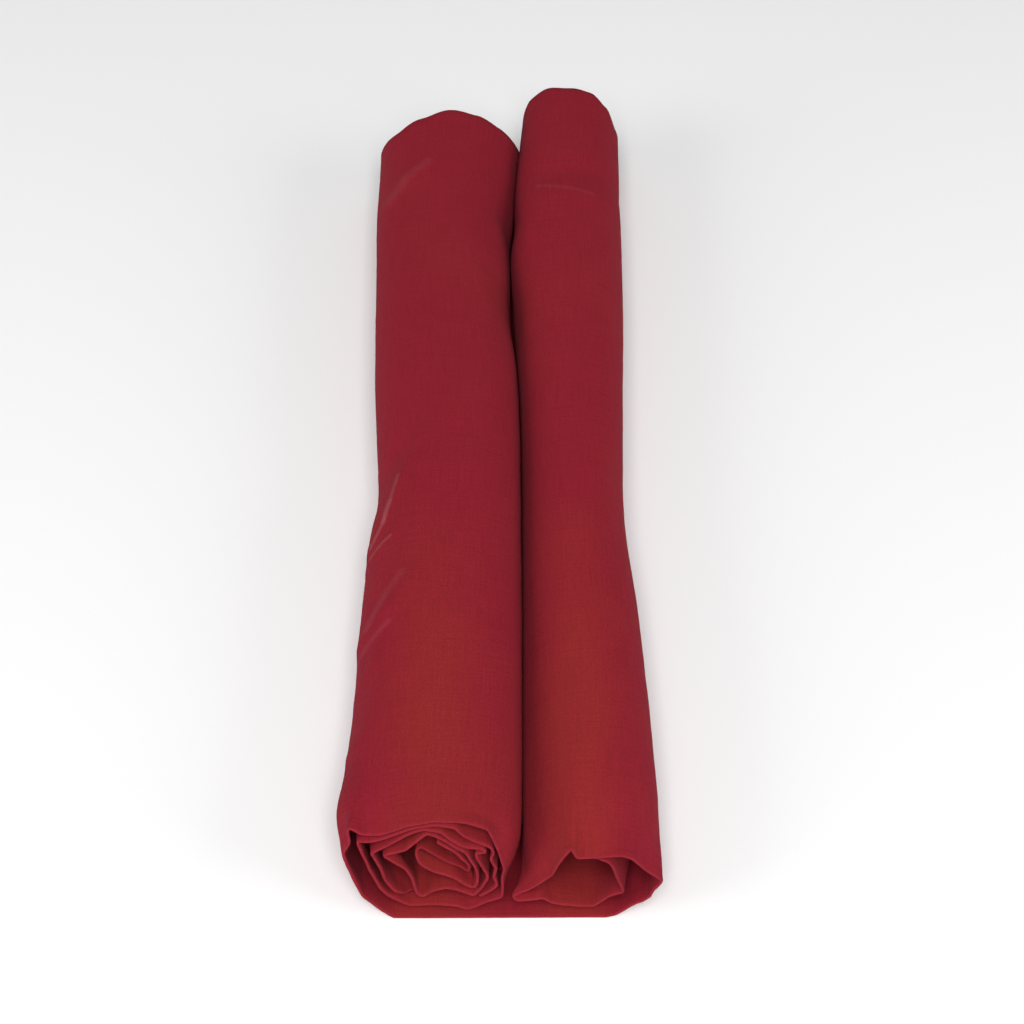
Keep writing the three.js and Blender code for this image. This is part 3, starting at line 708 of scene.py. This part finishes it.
def clothWeights(points, height, fromLip, fromEdge, isShown):
    # how free each point is to wrinkle and to ripple, how much painted highlight it gets along a
    # lip, and how much painted light warms it along the roll tops
    free = smoothStep((height - slackness["floorGap"]) / slackness["floorRise"])
    litTopWarmth = np.zeros(len(points))
    for side in ("left", "right"):
        bandMiddle, halfWidth = paintedLitTops[side]
        litTopWarmth += np.exp(-((points[:, 0] - bandMiddle) / halfWidth) ** 2)
    litTopWarmth *= smoothStep((points[:, 1] - paintedLitTops["starts"])
                         / (paintedLitTops["full"] - paintedLitTops["starts"]))
    return {
        "slack": free * np.where(isShown, slackness["shown"], slackness["hidden"]),
        "lip": free * np.exp(-(fromLip / slackness["lipReach"]) ** 2),
        "lipHighlightShare": np.exp(-(fromEdge / slackness["lipHighlightReach"]) ** 2),
        "litTopWarmth": litTopWarmth,
    }


def turbanCloth(material):
    edge = chosenColumns(nearEdgeCurve())
    grid, inside = clothGrid(edge)
    sections, layout, normal = clothSections(grid)
    columns = [column for column, shift, thin in layout]
    rows = grid.shape[1]
    around = sections.shape[1]
    shown = edge["shown"][:, 0] > 0.5
    faces = clothFaces(len(sections), rows, shown[columns])
    points = sections.reshape(-1, 3)
    # each point's row of the grid, also round the two lips
    lip = clothMesh["lipSteps"]
    rowOf = np.concatenate([np.arange(rows), np.full(lip, rows - 1),
                            np.arange(rows)[::-1], np.zeros(lip, int)])
    columnOf = np.repeat(columns, around)
    rowOf = np.tile(rowOf, len(sections))
    fromEdge = points[:, 1] - (grid[columnOf, 0, 1] - base)
    weights = clothWeights(points, grid[columnOf, rowOf, 2], inside[columnOf, rowOf],
                           fromEdge, shown[columnOf])
    # the cloth laid flat: along its section, and along the rolls
    middle = rows // 2
    stepLength = np.linalg.norm(np.diff(grid[:, middle], axis=0), axis=1)
    along = np.concatenate([[0], np.cumsum(stepLength)])
    u = np.array([along[column] + base * shift for column, shift, thin in layout])
    uv = np.stack([np.repeat(u, around), points[:, 1] - cloth["nearEnd"]], axis=1) * mm

    # only the points that a face uses
    used = np.unique(np.concatenate([np.array(face) for face in faces]))
    renumbered = np.zeros(len(points), int)
    renumbered[used] = np.arange(len(used))
    faces = [renumbered[face].tolist() for face in faces]
    piece = newMesh("turbanCloth", points[used] * mm, faces)
    mesh = piece.data
    for name, values in weights.items():
        addAttribute(mesh, name, "FLOAT", values[used])
    addAttribute(mesh, "outward", "FLOAT_VECTOR", normal[columnOf, rowOf][used])
    layer = mesh.uv_layers.new(name="cloth")
    vertex = np.empty(len(mesh.loops), dtype=np.int32)
    mesh.loops.foreach_get("vertex_index", vertex)
    layer.data.foreach_set("uv", uv[used][vertex].astype(np.float32).ravel())
    useTree(piece, wrinkleTree(), {"Cloth": material, **wrinkles})
    triangles = sum(len(polygon.vertices) - 2 for polygon in piece.data.polygons)
    print("turban cloth:", len(grid), "columns,", int(shown.sum()), "shown,", rows, "rows,",
          triangles, "triangles, section", round(float(along[-1])), "mm")
    return piece, grid, edge


# short frayed ends of thread that stand out of the near lips
fray = {
    "Length": 0.0026,                     # metres, of the longest
    "Shortest": 0.4,                      # against the longest
    "Thickness": 0.00016,
    "Bend": 0.35,                         # to the side, against the length
    "Share": 0.16,                        # of the lip's points that have one
    "Spread": 0.9,                        # how far they stray from straight ahead
    "Seed": 11,
}
frayPoints = 4                            # along each thread
fraySides = 4


def frayTree():
    inputs = {"Cloth": "Material"}
    inputs.update({label: "Int" if label == "Seed" else "Float" for label in fray})
    tree, given, ends = newTree("frayedThreads", inputs)
    chosen = addNode(tree, "FunctionNodeRandomValue", {"data_type": "BOOLEAN"},
                     Probability=given["Share"], Seed=given["Seed"])
    starts = addNode(tree, "GeometryNodeMeshToPoints", Mesh=given["Geometry"],
                     Selection=chosen.outputs[3])
    reach = addNode(tree, "ShaderNodeCombineXYZ", Z=given["Length"]).outputs[0]
    bend = math2(tree, "MULTIPLY", given["Length"], given["Bend"])
    arc = addNode(tree, "GeometryNodeCurveQuadraticBezier", Resolution=frayPoints,
                  Start=(0.0, 0.0, 0.0),
                  Middle=addNode(tree, "ShaderNodeCombineXYZ", X=bend, Z=bend).outputs[0],
                  End=reach)
    profile = addNode(tree, "GeometryNodeCurvePrimitiveCircle", Resolution=fraySides,
                      Radius=math2(tree, "MULTIPLY", given["Thickness"], 0.5))
    thread = addNode(tree, "GeometryNodeCurveToMesh", Curve=arc.outputs[0],
                     in1=profile.outputs[0])
    ahead = addNode(tree, "GeometryNodeInputNamedAttribute", {"data_type": "FLOAT_VECTOR"},
                    Name="ahead").outputs["Attribute"]
    aside = addNode(tree, "FunctionNodeRandomValue", {"data_type": "FLOAT_VECTOR"},
                    in0=(-1.0, -1.0, -1.0), in1=(1.0, 1.0, 1.0), Seed=given["Seed"])
    strayed = vector2(tree, "SCALE", aside.outputs[0], given["Spread"])
    way = vector2(tree, "ADD", ahead, strayed)
    turned = addNode(tree, "FunctionNodeAlignRotationToVector", {"axis": "Z"}, Vector=way)
    size = addNode(tree, "FunctionNodeRandomValue", {"data_type": "FLOAT"},
                   in2=given["Shortest"], in3=1.0, Seed=given["Seed"])
    placed = addNode(tree, "GeometryNodeInstanceOnPoints", Points=starts.outputs[0],
                     Instance=thread.outputs[0], Rotation=turned.outputs[0],
                     Scale=size.outputs[1])
    finishTree(tree, placed.outputs[0], given["Cloth"], ends)
    return tree


def frayedThreads(grid, edge, material):
    # none where the cloth lies on the floor
    lips = edge["turn"][:, 0] > clothMesh["shownTurns"][0]
    points = grid[lips, 0]
    ahead = unit(grid[lips, 0] - grid[lips, 1])
    piece = newMesh("frayedThreads", points * mm, [])
    addAttribute(piece.data, "ahead", "FLOAT_VECTOR", ahead)
    useTree(piece, frayTree(), {"Cloth": material, **fray})
    print("frayed threads:", len(piece.data.polygons), "faces")
    return piece


# crimson voile: linear colours, how fine each pattern is and how much it changes the colour
voile = {
    "crimson": (0.241, 0.0135, 0.0250, 1),
    # the warm red is the random cloud tone, and also the painted light of the lit roll tops
    "warmRedAndLitTop": (0.262, 0.0205, 0.0220, 1),
    # painted highlight: the paler pink line along the near lips
    "lipHighlight": (0.262, 0.0180, 0.0290, 1),
    # painted highlight: the paler pink along the crests of some creases
    "crestHighlightColour": (0.33, 0.085, 0.10, 1),
    "cloudsPerMetre": 14.0,               # soft patches between crimson and the warmer red
    "cloudDepth": 1.6,
    "streakAcross": 1400.0,               # per metre, across the threads
    "streakAlong": 45.0,
    "streakDepth": 0.3,
    "mottlePerMetre": 800.0,
    "mottleDepth": 0.4,
    "threadPitch": 0.00045,               # metres
    "threadHeight": 0.00007,
    "crestHeight": 0.0006,
    "roughness": 0.9,
    "specular": 0.04,
    "sheen": 0.02,
    "sheenRoughness": 0.45,
    "sheenTint": (1.0, 0.7, 0.85, 1),
}


def streaks(tree, uv, acrossU, acrossV):
    # noise that is finer one way than the other, around zero
    stretched = addNode(tree, "ShaderNodeMapping", Vector=uv, Scale=(acrossU, acrossV, 1))
    noise = addNode(tree, "ShaderNodeTexNoise", Vector=stretched.outputs[0], Scale=1.0, Detail=2.0)
    return math2(tree, "SUBTRACT", noise.outputs[0], 0.5)


# thin crests of some creases, painted as pale highlights and raised a little by bump, in mm as
# seen from above: how wide and how pale they are
highlightedCrestColumns = ("x", "y", "toX", "toY", "wide", "pale")
highlightedCrests = [
    (-56, -45, -60, -62, 2, 0.35),
    (-60, -62, -63.5, -76, 2.4, 0.6),
    (-63.5, -76, -70, -88, 2, 0.45),
    (-59, -87, -70, -95, 1.8, 0.35),
    (-52, -114, -60, -126, 4, 0.12),
    (-60, -126, -70, -144, 4, 0.16),
    (-58, -145, -72, -157, 3, 0.16),
    (-46, 207, -59, 197, 6, 0.1),
    (-59, 197, -69, 180, 6, 0.14),
    (22, 193, 55, 185, 3, 0.1),
]
crestHeights = (0.03, 0.033)              # metres above the floor: none below, all above


def highlightedCrestWeight(tree, place):
    # how near a place is to the crests, which sets both the painted highlight and the bump
    level = vector2(tree, "MULTIPLY", place, (1, 1, 0))
    total = 0.0
    for row in highlightedCrests:
        crest = dict(zip(highlightedCrestColumns, row))
        start = np.array([crest["x"], crest["y"], 0]) * mm
        run = np.array([crest["toX"], crest["toY"], 0]) * mm - start
        length = float(np.linalg.norm(run))
        ahead = tuple(run / length)
        away = vector2(tree, "SUBTRACT", level, tuple(start))
        along = addNode(tree, "ShaderNodeVectorMath", {"operation": "DOT_PRODUCT"},
                        in0=away, in1=ahead).outputs["Value"]
        held = addNode(tree, "ShaderNodeClamp", Value=along, Max=length).outputs[0]
        aside = vector2(tree, "SUBTRACT", away, vector2(tree, "SCALE", ahead, held))
        distance = addNode(tree, "ShaderNodeVectorMath", {"operation": "LENGTH"},
                           in0=aside).outputs["Value"]
        fade = addNode(tree, "ShaderNodeMapRange", {"interpolation_type": "SMOOTHERSTEP"},
                       Value=distance, **{"From Max": crest["wide"] * mm,
                                          "To Min": crest["pale"], "To Max": 0.0})
        total = math2(tree, "MAXIMUM", total, fade.outputs[0])
    height = addNode(tree, "ShaderNodeSeparateXYZ", Vector=place).outputs[2]
    above = addNode(tree, "ShaderNodeMapRange", Value=height,
                    **{"From Min": crestHeights[0], "From Max": crestHeights[1]})
    return math2(tree, "MULTIPLY", total, above.outputs[0])


def voileMaterial():
    material = bpy.data.materials.new("crimsonVoile")
    material.use_nodes = True
    tree = material.node_tree
    shader = tree.nodes["Principled BSDF"]
    place = addNode(tree, "ShaderNodeTexCoord").outputs["Object"]
    uv = addNode(tree, "ShaderNodeUVMap", {"uv_map": "cloth"}).outputs[0]
    clouds = addNode(tree, "ShaderNodeTexNoise", Vector=place, Scale=voile["cloudsPerMetre"],
                     Detail=2.0).outputs[0]
    # painted light: the tops of the rolls are mixed towards the lighter warm red, on top of the
    # random clouds
    litTopWarmth = addNode(tree, "ShaderNodeAttribute", {"attribute_name": "litTopWarmth"}).outputs["Fac"]
    drift = math2(tree, "MULTIPLY", math2(tree, "SUBTRACT", clouds, 0.5), voile["cloudDepth"])
    warmAndLitShare = addNode(tree, "ShaderNodeClamp", Value=math2(tree, "ADD", litTopWarmth, drift))
    body = addNode(tree, "ShaderNodeMix", {"data_type": "RGBA"}, Factor=warmAndLitShare.outputs[0],
                   in6=voile["crimson"], in7=voile["warmRedAndLitTop"])
    # painted highlight: the near lips are mixed towards a paler pink
    lip = addNode(tree, "ShaderNodeAttribute", {"attribute_name": "lipHighlightShare"}).outputs["Fac"]
    lipHighlighted = addNode(tree, "ShaderNodeMix", {"data_type": "RGBA"}, Factor=lip,
                    in6=body.outputs[2], in7=voile["lipHighlight"])
    # painted highlight along some crease crests; the same weight also bumps them a little
    crest = highlightedCrestWeight(tree, place)
    withCrestHighlights = addNode(tree, "ShaderNodeMix", {"data_type": "RGBA"}, Factor=crest,
                      in6=lipHighlighted.outputs[2], in7=voile["crestHighlightColour"])
    warp = streaks(tree, uv, voile["streakAcross"], voile["streakAlong"])
    weft = streaks(tree, uv, voile["streakAlong"], voile["streakAcross"])
    mottle = streaks(tree, uv, voile["mottlePerMetre"], voile["mottlePerMetre"])
    lines = math2(tree, "MULTIPLY", math2(tree, "ADD", warp, weft), voile["streakDepth"])
    specks = math2(tree, "MULTIPLY", mottle, voile["mottleDepth"])
    shade = math2(tree, "ADD", math2(tree, "ADD", lines, specks), 1.0)
    colour = vector2(tree, "SCALE", withCrestHighlights.outputs[2], shade)
    tree.links.new(colour, shader.inputs["Base Color"])
    # plain weave: warp and weft rise in turn
    parts = addNode(tree, "ShaderNodeSeparateXYZ", Vector=uv)
    perThread = math.pi / voile["threadPitch"]
    waves = [sineOf(tree, math2(tree, "MULTIPLY", parts.outputs[axis], perThread))
             for axis in (0, 1)]
    weave = math2(tree, "MULTIPLY", waves[0], waves[1])
    crestBump = addNode(tree, "ShaderNodeBump", Height=crest, Distance=voile["crestHeight"])
    bump = addNode(tree, "ShaderNodeBump", Height=weave, Distance=voile["threadHeight"],
                   Normal=crestBump.outputs[0])
    tree.links.new(bump.outputs[0], shader.inputs["Normal"])
    shader.inputs["Roughness"].default_value = voile["roughness"]
    shader.inputs["Specular IOR Level"].default_value = voile["specular"]
    shader.inputs["Sheen Weight"].default_value = voile["sheen"]
    shader.inputs["Sheen Roughness"].default_value = voile["sheenRoughness"]
    shader.inputs["Sheen Tint"].default_value = voile["sheenTint"]
    return material


crimsonVoile = voileMaterial()
turban, clothMiddle, clothEdge = turbanCloth(crimsonVoile)
threads = frayedThreads(clothMiddle, clothEdge, crimsonVoile)
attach(turban, "root")
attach(threads, "root")
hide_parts("turban_cloth")

# floor, light and camera, in metres
room = {
    "floorSize": 12.0,
    "floorColour": (0.92, 0.92, 0.92, 1),
    "floorRoughness": 0.8,
    "skyStrength": 0.2,
    "cameraPlace": (0.006, -0.82706, 0.95845),
    "cameraTilt": 40.0,                   # degrees up from straight down
    "lens": 77.0,                         # millimetres
    "sensorWidth": 36.0,
    "clip": (0.01, 50.0),
}
lightColumns = ("name", "x", "y", "z", "size", "power")
lights = [
    ("leftLight", -2.7, -1.0, 1.35, 1.6, 34),
    ("rightLight", 2.7, -1.0, 1.35, 1.6, 31),
    ("frontLight", 0.0, -1.85, 2.6, 1.6, 80),
]


def paleFloor():
    half = room["floorSize"] / 2
    corners = [(-half, -half, 0), (half, -half, 0), (half, half, 0), (-half, half, 0)]
    floor = newMesh("paleFloor", np.array(corners), [(0, 1, 2, 3)])
    material = bpy.data.materials.new("palePaper")
    material.use_nodes = True
    shader = material.node_tree.nodes["Principled BSDF"]
    shader.inputs["Base Color"].default_value = room["floorColour"]
    shader.inputs["Roughness"].default_value = room["floorRoughness"]
    floor.data.materials.append(material)


def softLight(name, x, y, z, size, power):
    # a square lamp that faces the middle of the cloth
    light = bpy.data.lights.new(name, "AREA")
    light.energy = power
    light.size = size
    lamp = bpy.data.objects.new(name, light)
    lamp.location = (x, y, z)
    lamp.rotation_euler = (math.atan2(math.hypot(x, y), z), 0, math.atan2(x, -y))
    bpy.context.collection.objects.link(lamp)


def paleRoom():
    sky = bpy.data.worlds.new("paleRoom")
    sky.use_nodes = True
    background = sky.node_tree.nodes["Background"]
    background.inputs["Color"].default_value = (1, 1, 1, 1)
    background.inputs["Strength"].default_value = room["skyStrength"]
    bpy.context.scene.world = sky


def camera():
    lens = bpy.data.cameras.new("camera")
    lens.lens = room["lens"]
    lens.sensor_width = room["sensorWidth"]
    lens.clip_start, lens.clip_end = room["clip"]
    view = bpy.data.objects.new("camera", lens)
    view.location = room["cameraPlace"]
    view.rotation_euler = (math.radians(room["cameraTilt"]), 0, 0)
    bpy.context.collection.objects.link(view)
    bpy.context.scene.camera = view


paleFloor()
for row in lights:
    softLight(**dict(zip(lightColumns, row)))
paleRoom()
camera()
bpy.context.scene.view_settings.view_transform = "Standard"
print("stage, lights and camera are set")
